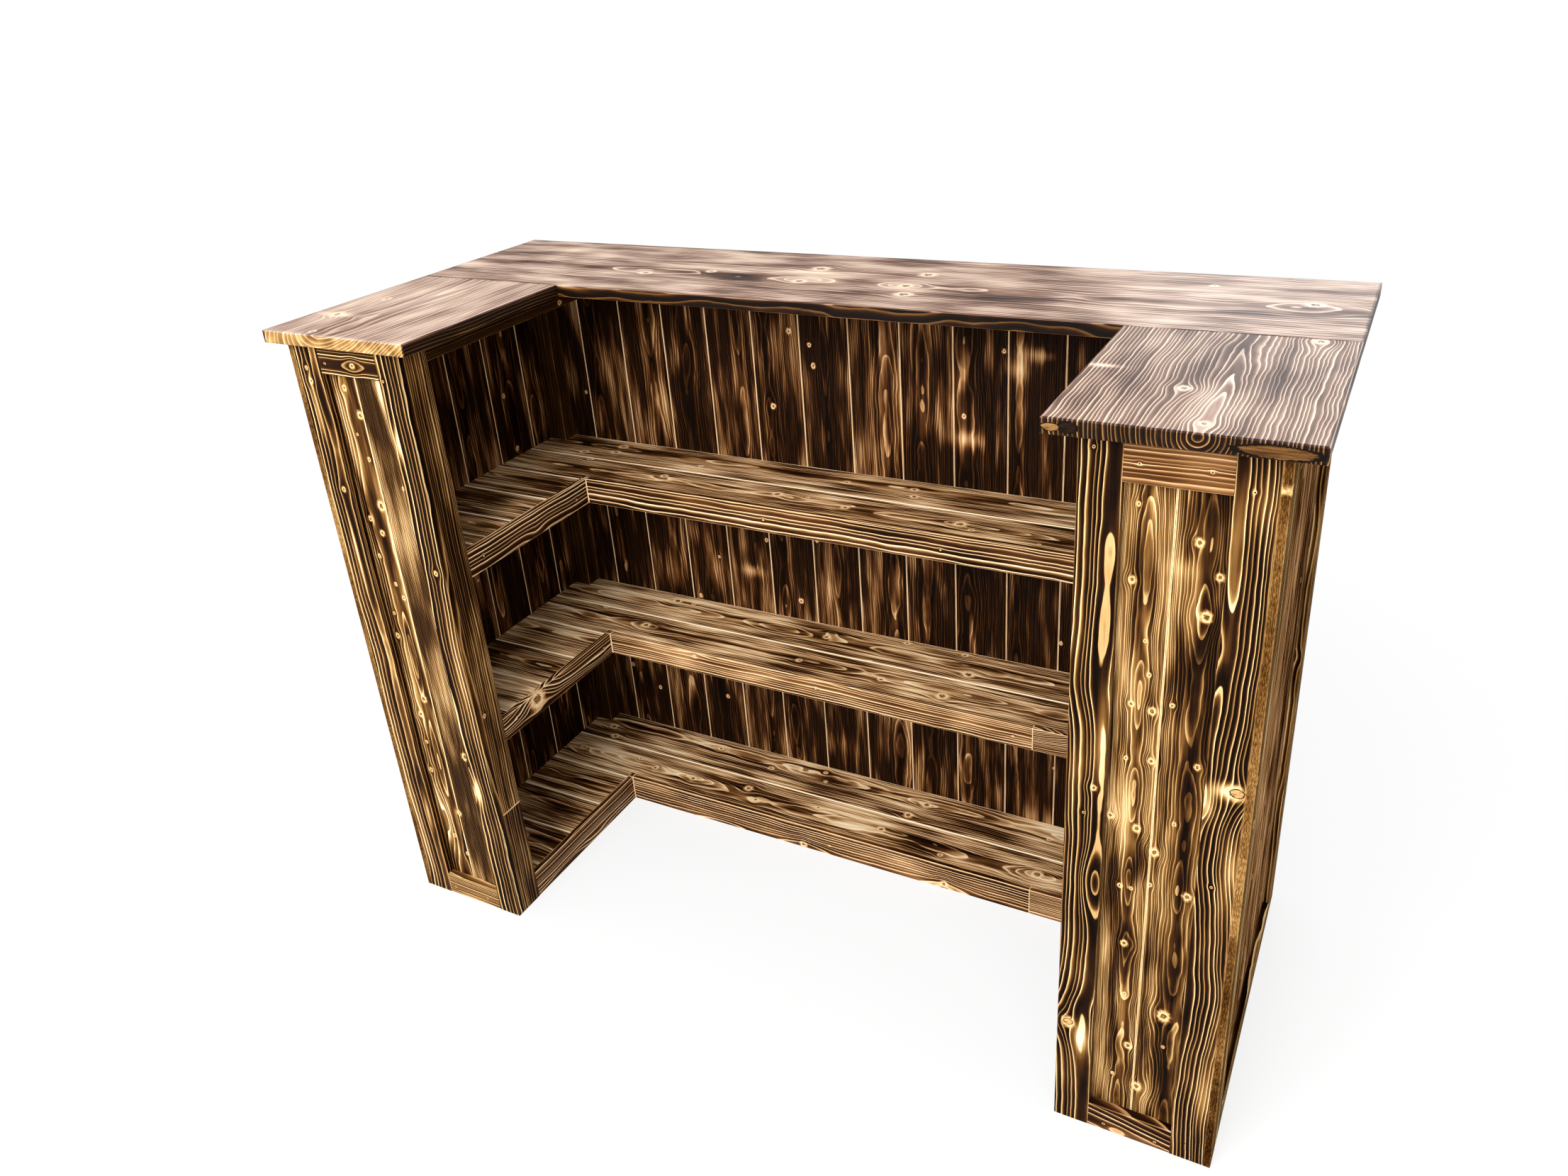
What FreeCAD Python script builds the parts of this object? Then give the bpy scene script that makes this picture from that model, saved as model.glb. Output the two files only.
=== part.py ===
import FreeCAD, Part
import math
import os

# Garden bar of scorched pine: a U-shaped counter on a body of interlocking boards, open on its
# serving side, with three tiers of shelves that follow the U. Millimetres. X runs along the bar,
# +Y points at the customers, the open side faces -Y and +Z is up. The origin is on the ground in
# the middle of the whole bar.

# Overall sizes
bar_height = 1050.0
body_length = 1398.0
body_depth = 560.0
left_wing_width = 216.0
right_wing_width = 214.0

# Counter: one long board on the customer side and a short wide board over each wing
top_thickness = 19.0
top_rounding = 1.5
long_board_width = 285.0
wing_board_width = 278.0
left_overhang = 25.0
right_overhang = 31.0
customer_overhang = 43.0
left_wing_overhang = 17.0
right_wing_overhang = 29.0

# Tongue-and-groove boards, used for the walls and the shelves
board_cover = 91.0
board_thickness = 12.5
board_gap = 0.5
tongue_length = 6.0
tongue_thickness = 4.0
groove_clearance = 0.3
groove_end_clearance = 0.7
arris = 0.9

# Where the first board of each wall is ripped: distance from the body's left or right face to a seam
back_wall_first_seam = 109.0
left_end_first_seam = 108.0
right_end_first_seam = 111.0

# Applied frames of stiles and rails round every outer wall
trim_thickness = 13.0
side_trim_thickness = 10.0
left_end_outer_stile_width = 49.0
left_end_inner_stile_width = 44.0
left_end_top_rail_width = 46.0
right_end_outer_stile_width = 44.0
right_end_inner_stile_width = 48.0
right_end_top_rail_width = 55.0
end_bottom_rail_width = 42.0
side_near_stile_width = 69.0
side_far_stile_width = 56.0
customer_stile_width = 59.0
side_top_rail_width = 50.0
side_bottom_rail_width = 42.0
return_joint_height = 213.0

# Corner posts and bearers inside the body
post_width = 36.0
post_depth = 30.0
bearer_thickness = 20.0
top_bearer_height = 30.0
shelf_bearer_height = 28.0

# Shelves: heights of their upper faces, and the lips nailed along their front edges
bottom_shelf_top = 51.5
middle_shelf_top = 381.0
upper_shelf_top = 695.0
middle_lip_height = 42.0
upper_lip_height = 46.0
lip_thickness = 11.0
long_lip_setback = 39.0
lip_offcut_length = 152.5
shelf_clearance = 0.5

# Places worked out from the sizes above
body_top = bar_height - top_thickness
counter_length = left_overhang + body_length + right_overhang
counter_depth = max(left_wing_overhang, right_wing_overhang) + body_depth + customer_overhang
counter_left = -counter_length / 2
counter_right = counter_left + counter_length
counter_back = counter_depth / 2
counter_inner_edge = counter_back - long_board_width
body_left = counter_left + left_overhang
body_right = body_left + body_length
body_back = counter_back - customer_overhang
body_front = body_back - body_depth
wall_thickness = trim_thickness + board_thickness
side_wall_thickness = side_trim_thickness + board_thickness
interior_left = body_left + side_wall_thickness
interior_right = body_right - side_wall_thickness
interior_back = body_back - wall_thickness
interior_front = body_front + wall_thickness
left_wing_face = body_left + left_wing_width
right_wing_face = body_right - right_wing_width
post_back = interior_front + post_depth
back_post_front = interior_back - post_depth
left_lip_back = left_wing_face - lip_thickness
right_lip_back = right_wing_face + lip_thickness
long_lip_front = counter_inner_edge + long_lip_setback
long_lip_back = long_lip_front + lip_thickness
full_height = (0, body_top)


def prism(section, place, start, end):
    """Extrude a section of (across, depth) points from start to end along the grain."""
    points = [place(across, depth, start) for across, depth in section]
    outline = Part.makePolygon(points + points[:1])
    return Part.Face(outline).extrude(place(0, 0, end - start))


def upright_along_x(across, depth, along):
    """Upright grain in a wall that runs along X."""
    return FreeCAD.Vector(across, depth, along)


def upright_along_y(across, depth, along):
    """Upright grain in a wall that runs along Y."""
    return FreeCAD.Vector(depth, across, along)


def level_along_x(across, depth, along):
    """Level grain along X, with the section in the YZ plane."""
    return FreeCAD.Vector(along, across, depth)


def level_along_y(across, depth, along):
    """Level grain along Y, with the section in the XZ plane."""
    return FreeCAD.Vector(across, along, depth)


def eased_rectangle(across, depth):
    """Section of a plain board with its four long corners taken off."""
    low, high = across
    face, back = depth
    return [
        (low + arris, face),
        (high - arris, face),
        (high, face + arris),
        (high, back - arris),
        (high - arris, back),
        (low + arris, back),
        (low, back - arris),
        (low, face + arris),
    ]


def plank(x_range, y_range, z_range, grain):
    """A sawn board that fills three ranges, with its grain and eased edges along one axis."""
    if grain == "x":
        return prism(eased_rectangle(y_range, z_range), level_along_x, *x_range)
    if grain == "y":
        return prism(eased_rectangle(x_range, z_range), level_along_y, *y_range)
    return prism(eased_rectangle(x_range, y_range), upright_along_x, *z_range)


def block(x_range, y_range, z_range):
    """A plain box between three ranges, for cutting and for the counter boards."""
    size = [high - low for low, high in (x_range, y_range, z_range)]
    corner = FreeCAD.Vector(x_range[0], y_range[0], z_range[0])
    return Part.makeBox(*size, corner)


def tongue_and_groove(low, high, face):
    """Section of one interlocking board: groove at low, tongue at high, edges eased on both faces."""
    left = low + board_gap / 2
    right = high - board_gap / 2
    back = face + board_thickness
    middle = face + board_thickness / 2
    tongue = tongue_thickness / 2
    groove = tongue + groove_clearance
    tongue_end = right + tongue_length
    groove_end = left + tongue_length + groove_end_clearance
    return [
        (left + arris, face),
        (right - arris, face),
        (right, face + arris),
        (right, middle - tongue),
        (tongue_end, middle - tongue),
        (tongue_end, middle + tongue),
        (right, middle + tongue),
        (right, back - arris),
        (right - arris, back),
        (left + arris, back),
        (left, back - arris),
        (left, middle + groove),
        (groove_end, middle + groove),
        (groove_end, middle - groove),
        (left, middle - groove),
        (left, face + arris),
    ]


def board_row(seam, low, high, face, place, start, end):
    """Interlocking boards that fill low to high with one seam at a given place.

    The boards at both ends are ripped to fit. A strip no wider than a tongue is not a board:
    there the last board's tongue fills the corner.
    """
    first = seam - math.ceil((seam - low) / board_cover) * board_cover
    row_section = [(low, face), (high, face), (high, face + board_thickness), (low, face + board_thickness)]
    row_space = prism(row_section, place, start, end)
    boards = []
    for index in range(math.ceil((high - first) / board_cover)):
        left = first + index * board_cover
        right = left + board_cover
        if min(right, high) - max(left, low) > tongue_length:
            board = prism(tongue_and_groove(left, right, face), place, start, end)
            boards.append(board.common(row_space))
    return boards


def wall_frame(along, span, skin, stile_widths, top_rail_width, bottom_rail_width):
    """Four trims over one outer wall: two full-height stiles with the rails butted between them."""
    low, high = span
    low_rail_end = low + stile_widths[0]
    high_rail_end = high - stile_widths[1]

    def trim(level_range, height_range, grain):
        if along == "x":
            return plank(level_range, skin, height_range, grain)
        return plank(skin, level_range, height_range, grain)

    low_stile = trim((low, low_rail_end), full_height, "z")
    high_stile = trim((high_rail_end, high), full_height, "z")
    top_rail = trim((low_rail_end, high_rail_end), (body_top - top_rail_width, body_top), along)
    bottom_rail = trim((low_rail_end, high_rail_end), (0, bottom_rail_width), along)
    return low_stile, high_stile, top_rail, bottom_rail


def counter_board(x_range, y_range):
    """A wide counter board with its top and bottom edges rounded all the way round."""
    board = block(x_range, y_range, (body_top, bar_height))
    level_edges = [edge for edge in board.Edges if edge.BoundBox.ZLength < top_thickness / 2]
    return board.makeFillet(top_rounding, level_edges)


def save(name, *solids):
    """Write one node: a single piece, or a group of like boards as separate solids."""
    shape = solids[0] if len(solids) == 1 else Part.makeCompound(list(solids))
    shape.exportStep("parts/" + name + ".step")


os.makedirs("parts", exist_ok=True)

# Counter boards: the wings' boards butt against the long board's inner edge
wing_fronts = (body_front - left_wing_overhang, body_front - right_wing_overhang)
left_wing_inner_edge = counter_left + wing_board_width
right_wing_inner_edge = counter_right - wing_board_width
save("counter_long_board", counter_board((counter_left, counter_right), (counter_inner_edge, counter_back)))
save("counter_left_wing_board",
     counter_board((counter_left, left_wing_inner_edge), (wing_fronts[0], counter_inner_edge)))
save("counter_right_wing_board",
     counter_board((right_wing_inner_edge, counter_right), (wing_fronts[1], counter_inner_edge)))

# Walls of upright interlocking boards. The side walls cover the edges of the back and end walls.
left_skin = (body_left, body_left + side_trim_thickness)
right_skin = (body_right - side_trim_thickness, body_right)
side_wall_span = (body_front + trim_thickness, body_back - trim_thickness)
side_wall_seam = side_wall_span[1] - board_cover
end_wall_face = body_front + trim_thickness
save("back_wall_boards", *board_row(body_left + back_wall_first_seam, interior_left, interior_right,
                                    interior_back, upright_along_x, *full_height))
save("left_side_boards", *board_row(side_wall_seam, *side_wall_span, left_skin[1],
                                    upright_along_y, *full_height))
save("right_side_boards", *board_row(side_wall_seam, *side_wall_span, interior_right,
                                     upright_along_y, *full_height))
save("left_end_boards", *board_row(body_left + left_end_first_seam, interior_left,
                                   left_wing_face - trim_thickness, end_wall_face,
                                   upright_along_x, *full_height))
save("right_end_boards", *board_row(body_right - right_end_first_seam, right_wing_face + trim_thickness,
                                    interior_right, end_wall_face, upright_along_x, *full_height))

# Frames over the outer walls. The side frames are thinner. Their near stiles cover the edges of the
# end frames, and the customer stiles cover the edges of their far stiles.
front_skin = (body_front, body_front + trim_thickness)
customer_skin = (body_back - trim_thickness, body_back)
side_frame_span = (body_front, customer_skin[0])
side_stile_widths = (side_near_stile_width, side_far_stile_width)
frames = {
    "left_end": wall_frame("x", (left_skin[1], left_wing_face), front_skin,
                           (left_end_outer_stile_width, left_end_inner_stile_width),
                           left_end_top_rail_width, end_bottom_rail_width),
    "right_end": wall_frame("x", (right_wing_face, right_skin[0]), front_skin,
                            (right_end_inner_stile_width, right_end_outer_stile_width),
                            right_end_top_rail_width, end_bottom_rail_width),
    "left_side": wall_frame("y", side_frame_span, left_skin, side_stile_widths,
                            side_top_rail_width, side_bottom_rail_width),
    "right_side": wall_frame("y", side_frame_span, right_skin, side_stile_widths,
                             side_top_rail_width, side_bottom_rail_width),
    "customer": wall_frame("x", (body_left, body_right), customer_skin,
                           (customer_stile_width, customer_stile_width),
                           side_top_rail_width, side_bottom_rail_width),
}
stile_names = {
    "left_end": ("outer_stile", "inner_stile"),
    "right_end": ("inner_stile", "outer_stile"),
    "left_side": ("near_stile", "far_stile"),
    "right_side": ("near_stile", "far_stile"),
    "customer": ("left_stile", "right_stile"),
}
for wall, trims in frames.items():
    for trim_name, trim_solid in zip(stile_names[wall] + ("top_rail", "bottom_rail"), trims):
        save(wall + "_" + trim_name, trim_solid)

# Return boards on the wings' inner sides cover the edge of the end wall and its post.
# The left one is made up of two lengths.
return_depth = (body_front + trim_thickness, post_back)
left_return_skin = (left_wing_face - trim_thickness, left_wing_face)
right_return_skin = (right_wing_face, right_wing_face + trim_thickness)
save("left_return_upper", plank(left_return_skin, return_depth, (return_joint_height, body_top), "z"))
save("left_return_lower", plank(left_return_skin, return_depth, (0, return_joint_height), "z"))
save("right_return_board", plank(right_return_skin, return_depth, full_height, "z"))

# Posts in the six inner corners that the walls make
front_posts = (interior_front, post_back)
back_posts = (back_post_front, interior_back)
outer_left_posts = (interior_left, interior_left + post_width)
outer_right_posts = (interior_right - post_width, interior_right)
posts = {
    "back_left_post": (outer_left_posts, back_posts),
    "back_right_post": (outer_right_posts, back_posts),
    "left_end_outer_post": (outer_left_posts, front_posts),
    "left_end_inner_post": ((left_return_skin[0] - post_width, left_return_skin[0]), front_posts),
    "right_end_inner_post": ((right_return_skin[1], right_return_skin[1] + post_width), front_posts),
    "right_end_outer_post": (outer_right_posts, front_posts),
}
for post_name, (post_x, post_y) in posts.items():
    save(post_name, plank(post_x, post_y, full_height, "z"))
uprights = [*posts.values(), (left_return_skin, return_depth), (right_return_skin, return_depth)]

# Bearers under the counter. The inner ones show under the wings' inner edges.
top_bearers = (body_top - top_bearer_height, body_top)
back_bearer_face = interior_back - bearer_thickness
between_back_posts = (outer_left_posts[1], outer_right_posts[0])
between_side_posts = (post_back, back_post_front)
left_side_bearer = (interior_left, interior_left + bearer_thickness)
right_side_bearer = (interior_right - bearer_thickness, interior_right)
back_bearer = (back_bearer_face, interior_back)
inner_bearer_run = (post_back, back_bearer_face)
save("back_top_bearer", plank(between_back_posts, back_bearer, top_bearers, "x"))
save("left_top_bearer", plank(left_side_bearer, between_side_posts, top_bearers, "y"))
save("right_top_bearer", plank(right_side_bearer, between_side_posts, top_bearers, "y"))
save("left_inner_top_bearer",
     plank((left_wing_face - bearer_thickness, left_wing_face), inner_bearer_run, top_bearers, "y"))
save("right_inner_top_bearer",
     plank((right_wing_face, right_wing_face + bearer_thickness), inner_bearer_run, top_bearers, "y"))


def shelf_boards(top):
    """One U-shaped shelf of boards along X, cut round the posts and returns and back to the lips."""
    under = top - board_thickness
    shelf_front = interior_front + shelf_clearance
    shelf_back = interior_back - shelf_clearance
    rows = board_row(interior_back - board_cover, shelf_front, shelf_back, under, level_along_x,
                     interior_left + shelf_clearance, interior_right - shelf_clearance)
    open_bay = block((left_lip_back, right_lip_back), (interior_front, long_lip_back), (under, top))
    cutters = [open_bay]
    for upright_x, upright_y in uprights:
        cutters.append(block((upright_x[0] - shelf_clearance, upright_x[1] + shelf_clearance),
                             (upright_y[0] - shelf_clearance, upright_y[1] + shelf_clearance),
                             (under, top)))
    return [solid for board in rows for solid in board.cut(cutters).Solids]


def shelf_bearers(top, height):
    """Eight bearers under one shelf: round the walls, behind the lips and across the inner corners."""
    under = top - board_thickness
    levels = (under - height, under)
    left_end_run = (outer_left_posts[1], posts["left_end_inner_post"][0][0])
    right_end_run = (posts["right_end_inner_post"][0][1], outer_right_posts[0])
    end_bearer = (interior_front, interior_front + bearer_thickness)
    return [
        plank(between_back_posts, back_bearer, levels, "x"),
        plank(left_side_bearer, between_side_posts, levels, "y"),
        plank(right_side_bearer, between_side_posts, levels, "y"),
        plank(left_end_run, end_bearer, levels, "x"),
        plank(right_end_run, end_bearer, levels, "x"),
        plank((left_lip_back - bearer_thickness, left_lip_back), inner_bearer_run, levels, "y"),
        plank((right_lip_back, right_lip_back + bearer_thickness), inner_bearer_run, levels, "y"),
        plank((left_lip_back, right_lip_back), (long_lip_back, long_lip_back + bearer_thickness), levels, "x"),
    ]


# Three tiers of shelves with their bearers and lips. The bottom bearers and lips stand on the ground.
bottom_bearer_height = bottom_shelf_top - board_thickness
tiers = {
    "bottom": (bottom_shelf_top, bottom_bearer_height, bottom_shelf_top),
    "middle": (middle_shelf_top, shelf_bearer_height, middle_lip_height),
    "upper": (upper_shelf_top, shelf_bearer_height, upper_lip_height),
}
wing_lip_run = (post_back, long_lip_back)
long_lip_depth = (long_lip_front, long_lip_back)
offcut_start = right_wing_face - lip_offcut_length
for tier, (shelf_top, bearer_height, lip_height) in tiers.items():
    lip_levels = (shelf_top - lip_height, shelf_top)
    save(tier + "_shelf_boards", *shelf_boards(shelf_top))
    save(tier + "_shelf_bearers", *shelf_bearers(shelf_top, bearer_height))
    save(tier + "_left_lip", plank((left_lip_back, left_wing_face), wing_lip_run, lip_levels, "y"))
    save(tier + "_right_lip", plank((right_wing_face, right_lip_back), wing_lip_run, lip_levels, "y"))
    if tier == "upper":
        save(tier + "_long_lip", plank((left_wing_face, right_wing_face), long_lip_depth, lip_levels, "x"))
    else:
        save(tier + "_long_lip", plank((left_wing_face, offcut_start), long_lip_depth, lip_levels, "x"))
        save(tier + "_lip_offcut", plank((offcut_start, right_wing_face), long_lip_depth, lip_levels, "x"))
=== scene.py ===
import math
import random
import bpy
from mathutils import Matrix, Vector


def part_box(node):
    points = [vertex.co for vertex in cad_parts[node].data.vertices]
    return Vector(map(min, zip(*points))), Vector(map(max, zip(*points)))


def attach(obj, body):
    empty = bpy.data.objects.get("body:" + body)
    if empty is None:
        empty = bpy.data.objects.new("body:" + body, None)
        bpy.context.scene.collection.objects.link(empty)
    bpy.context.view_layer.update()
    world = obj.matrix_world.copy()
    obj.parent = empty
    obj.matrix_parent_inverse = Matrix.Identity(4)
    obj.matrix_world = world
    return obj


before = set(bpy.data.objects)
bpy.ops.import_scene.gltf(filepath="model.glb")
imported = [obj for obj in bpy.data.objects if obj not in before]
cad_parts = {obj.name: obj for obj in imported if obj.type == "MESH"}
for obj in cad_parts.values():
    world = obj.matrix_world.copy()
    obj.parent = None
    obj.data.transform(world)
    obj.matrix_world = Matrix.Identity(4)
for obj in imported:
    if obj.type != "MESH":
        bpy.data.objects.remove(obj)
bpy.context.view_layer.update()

from types import SimpleNamespace
import bmesh
import bpy
from mathutils import Matrix, Vector

# Camera: the photograph's viewpoint, a wide lens at head height in front of the right wing, tipped
# down at the serving side and slightly rolled.
photo_width = 2212
focal_pixels = 1671.8
axis_right_pixels, axis_up_pixels = 50.6, 75.5
eye = Vector((0.7905, -1.4316, 1.4794))
heading, pitch, roll = math.radians(28.547), math.radians(25.564), math.radians(-3.839)
photo_lens = bpy.data.cameras.new("photo_camera")
photo_lens.sensor_width = 36
photo_lens.lens = photo_lens.sensor_width * focal_pixels / photo_width
photo_lens.shift_x = -axis_right_pixels / photo_width
photo_lens.shift_y = -axis_up_pixels / photo_width
camera = bpy.data.objects.new("photo_camera", photo_lens)
camera.matrix_world = (Matrix.Translation(eye) @ Matrix.Rotation(heading, 4, "Z")
                       @ Matrix.Rotation(math.pi / 2 - pitch, 4, "X") @ Matrix.Rotation(roll, 4, "Z"))
bpy.context.collection.objects.link(camera)
bpy.context.scene.camera = camera


# Counter: three wide pine boards, nailed down on the bearers, scorched with a torch, brushed and
# sealed to a satin sheen. The burn browns the soft wood of every growth ring and leaves the hard
# lines pale.
class Shade:
    """A value in a material's node tree. Sums with numbers or other Shades add Math nodes."""

    def __init__(self, tree, socket=None):
        self.tree = tree
        self.socket = socket

    def node(self, kind, inputs=None, output=0, stops=(), smooth="LINEAR", **settings):
        """Any other node, by its type, sockets and settings. stops are a colour ramp's."""
        made = self.tree.nodes.new("ShaderNode" + kind)
        for setting, choice in settings.items():
            setattr(made, setting, choice)
        if stops:
            ramp = made.color_ramp
            ramp.interpolation = smooth
            ramp.elements[0].position, ramp.elements[1].position = stops[0][0], stops[-1][0]
            ramp.elements[0].color, ramp.elements[1].color = stops[0][1], stops[-1][1]
            for place, colour in stops[1:-1]:
                ramp.elements.new(place).color = colour
        for name, value in (inputs or {}).items():
            if isinstance(value, Shade):
                self.tree.links.new(value.socket, made.inputs[name])
            else:
                made.inputs[name].default_value = value
        return Shade(self.tree, made.outputs[output] if made.outputs else None)

    def maths(self, operation, *others):
        return self.node("Math", dict(enumerate((self, *others))), operation=operation)

    def vector(self, operation, *others, output=0):
        return self.node("VectorMath", dict(enumerate((self, *others))), output=output,
                         operation=operation)

    def axis(self, number):
        """One part of a vector. A dot product needs less of the renderer's memory than Separate XYZ."""
        return self.vector("DOT_PRODUCT", tuple(float(number == one) for one in range(3)), output=1)

    def __add__(self, other):
        return self.maths("ADD", other)

    def __mul__(self, other):
        return self.maths("MULTIPLY", other)

    def __sub__(self, other):
        return self.maths("SUBTRACT", other)

    def __rsub__(self, other):
        return self.maths("MULTIPLY_ADD", -1, other)

    def __truediv__(self, other):
        return self.maths("DIVIDE", other)

    def __abs__(self):
        return self.maths("ABSOLUTE")

    __radd__ = __add__
    __rmul__ = __mul__

    def between(self, low, high):
        """0 below low, 1 above high, smooth in between."""
        return self.node("MapRange", {"Value": self, "From Min": low, "From Max": high},
                         interpolation_type="SMOOTHSTEP")

    def towards(self, other, amount):
        """This value moved by a share towards another."""
        return self + (other - self) * amount

    def within(self, low, high):
        return self.maths("MAXIMUM", low).maths("MINIMUM", high)

    def curve(self, points, low, high):
        """A smooth curve through given (place, value) points, read at this place."""
        first, last = points[0][0], points[-1][0]
        stops = [((place - first) / (last - first), ((value - low) / (high - low),) * 3 + (1,))
                 for place, value in points]
        share = (self - first) / (last - first)
        return share.node("ValToRGB", {0: share}, stops=stops, smooth="B_SPLINE") * (high - low) + low


def ink(red, green, blue):
    """A screen colour from 0 to 255 as the linear colour that a shader takes."""
    return tuple((c / 255 / 12.92 if c < 11 else ((c / 255 + 0.055) / 1.055) ** 2.4)
                 for c in (red, green, blue)) + (1,)


def grey(level):
    return (level, level, level, 1)


# From bare wood to black char: honey-coloured outside, and on the counter's top a grey bloom of varnish
# and painted sky reflection
honey_char = (
    (0.00, ink(255, 242, 206)),
    (0.10, ink(244, 213, 160)),
    (0.25, ink(208, 169, 114)),
    (0.40, ink(163, 124, 73)),
    (0.55, ink(117, 81, 40)),
    (0.70, ink(74, 45, 17)),
    (0.85, ink(36, 18, 6)),
    (1.00, ink(11, 5, 2)),
)
# The counter top's ramp: its grey is partly varnish bloom and partly a painted reflection of the sky
bloom_and_sky_sheen_char = (
    (0.00, ink(255, 243, 211)),
    (0.12, ink(244, 219, 184)),
    (0.28, ink(209, 182, 161)),
    (0.45, ink(172, 144, 129)),
    (0.60, ink(131, 98, 79)),
    (0.78, ink(75, 46, 32)),
    (1.00, ink(22, 11, 7)),
)
# Across one growth ring, from the soft spring wood outwards: how much of the hard pale line shows
ring_profile = (
    (0.00, grey(0.00)),
    (0.30, grey(0.02)),
    (0.55, grey(0.18)),
    (0.74, grey(0.50)),
    (0.84, grey(0.95)),
    (0.96, grey(1.00)),
    (1.00, grey(0.05)),
)
# From a knot's middle outwards: brown heart, thin burnt outline, cream wood
knot_reach = 3
knot_profile = (
    (0.00, grey(0.52)),
    (0.06, grey(0.40)),
    (0.10, grey(0.76)),
    (0.14, grey(0.50)),
    (0.20, grey(0.14)),
    (0.30, grey(0.12)),
    (0.60, grey(0.26)),
    (1.00, grey(0.38)),
)
# A pine board unless its own section says otherwise. Lengths are in millimetres, a place is (along
# the grain, across it) and burn runs from 0 for bare wood to 1 for black char.
plain_pine = dict(
    # Growth rings: their gap, and the tree's heart with its place across the board, or the places of
    # its path along the board, and its depth under the face. lean and tilt turn it.
    ring_gap=5.0, heart=(0.0, 20.0), lean=0.0, tilt=0.0,
    # How far the rings wander slowly (sideways, in depth) and quickly, and how broad the lines are
    sway=(3.0, 3.0), ripple=0.6, wild=0.0, bold=0.0,
    # A row of boards: the place of a seam, their width, how far their hearts lie apart by chance and
    # from board to board, and how far their ring gaps and their burn differ
    seam=None, cover=None, spread=(0.0, 0.0), heart_step=0.0, gap_step=0.0, uneven_boards=0.0,
    # Knots (place, size) and figures (place, length, breadth, rings) that the rings bend round,
    # then how common, large and far apart the scattered knots are
    knots=(), figures=(), knot_chance=0.2, knot_size=(2.5, 5.0), knot_cell=(130.0, 46.0),
    # Burn: its level, the torch's patches and their size, marks (place, length, breadth, change),
    # and what the side edges, the end edges and the back add
    char=0.85, patch=0.15, torch=(150, 34), scorch=(), edge_burn=(0.0, 0.0), outside=0.0,
    # How pale the ring lines stay, how much of them a deep burn hides, and the fine fibres
    line=0.85, smother=0.0, fibre=0.10,
    # How pale and wide the brushed corners are, pale joints across the grain, saw marks on the near
    # edge, and knots cut lengthwise by a saw (centre, half sizes, burn)
    edge=0.75, edge_width=1.5, ends=(), sawn=0.0, cut_knots=(),
    # Colours from bare to burnt, roughness and strength of the sheen
    colours=honey_char, gloss=0.42, shine=0.03)
x_axis, y_axis, z_axis = 0, 1, 2
mm_per_metre = 1000


class Board:
    """Places on a board as Shades, in millimetres: along its grain, across it and into its face.

    The face looks at the server, up or to the right. In a row of boards, number tells them apart.
    """

    def __init__(self, start, node, grain, across, seed, look):
        low, high = (corner * mm_per_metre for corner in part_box(node))
        middle, half = (low + high) / 2, (high - low) / 2
        depth = x_axis + y_axis + z_axis - grain - across
        self.start, self.seed, self.draw = start, seed, random.Random(seed)
        self.half_length, self.half_width, self.half_thick = half[grain], half[across], half[depth]
        self.along_middle, self.deep_middle, self.near_side = middle[grain], middle[depth], low[across]
        self.spot = start.node("TexCoord", output="Object")
        self.along, self.place, self.deep = (self.spot.axis(one) * mm_per_metre
                                             for one in (grain, across, depth))
        self.into = self.deep - low[depth] if depth == y_axis else high[depth] - self.deep
        self.flat_spot = start.node("CombineXYZ", {0: self.along, 1: self.place, 2: 0})
        heart_place, heart_depth = look.heart
        if look.seam is None:
            number_per_seed, path_margin = 1.7, 40
            self.number = seed * number_per_seed
            self.side = self.place - middle[across]
            if isinstance(heart_place, tuple):
                heart_place = self.along.curve(heart_place, low[across] - path_margin,
                                               high[across] + path_margin)
            self.heart_side, self.heart_depth = heart_place - middle[across], heart_depth
            self.char, self.ring_gap = look.char, look.ring_gap
        else:
            self.number = ((self.place - look.seam) / look.cover).maths("FLOOR")
            self.side = self.place - look.seam - (self.number + 0.5) * look.cover
            self.half_width = look.cover / 2
            side_spread, depth_spread = look.spread
            self.heart_side = self.chance(-side_spread, side_spread) + self.number * look.heart_step
            self.heart_side = self.heart_side + heart_place
            self.heart_depth = self.chance(0, depth_spread) + heart_depth
            self.char = self.chance(-look.uneven_boards, look.uneven_boards) + look.char
            self.ring_gap = self.number * look.gap_step + look.ring_gap
        cloud_step = 3.71
        self.own = self.number * cloud_step + self.draw.uniform(0, 50)
        self.slow_side, self.slow_deep, self.slow_heat = self.cloud(150, 120, 1.0, output=1)
        self.quick_side, self.quick_deep, self.quick_heat = self.cloud(60, 40, 2.0, output=1)
        self.wobble = self.cloud(4, 4, 2.0) * 0.36

    def chance(self, least, most):
        """A random value that each board of a row has to itself."""
        throw_step = 1.37
        place = self.number * throw_step + self.draw.uniform(0, 99)
        throw = self.start.node("TexWhiteNoise", {"W": place}, noise_dimensions="1D")
        return throw * (most - least) + least

    def cloud(self, length, breadth, detail=2.0, output=0):
        """Noise from about -1 to 1, drawn out along the grain. Output 1 holds three of them."""
        vector = self.start.node("CombineXYZ", {0: self.along / length + self.own, 1: self.side / breadth,
                                                2: self.into / breadth + self.own})
        noise = self.start.node("TexNoise", {"Vector": vector, "Scale": 1.0, "Detail": detail,
                                             "Roughness": 0.55}, output=output)
        reach = 1.3
        if output:
            return [noise.axis(part) * (2 * reach) - reach for part in range(3)]
        return noise * (2 * reach) - reach

    def bell(self, along, across, length, breadth):
        """A soft spot of the given place and half sizes."""
        offset = self.flat_spot.vector("MULTIPLY_ADD", (1 / length, 1 / breadth, 0),
                                       (-along / length, -across / breadth, 0))
        square = offset.vector("DOT_PRODUCT", offset, output=1)
        return self.start.node("Math", {0: math.exp(-1), 1: square}, operation="POWER")


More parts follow.
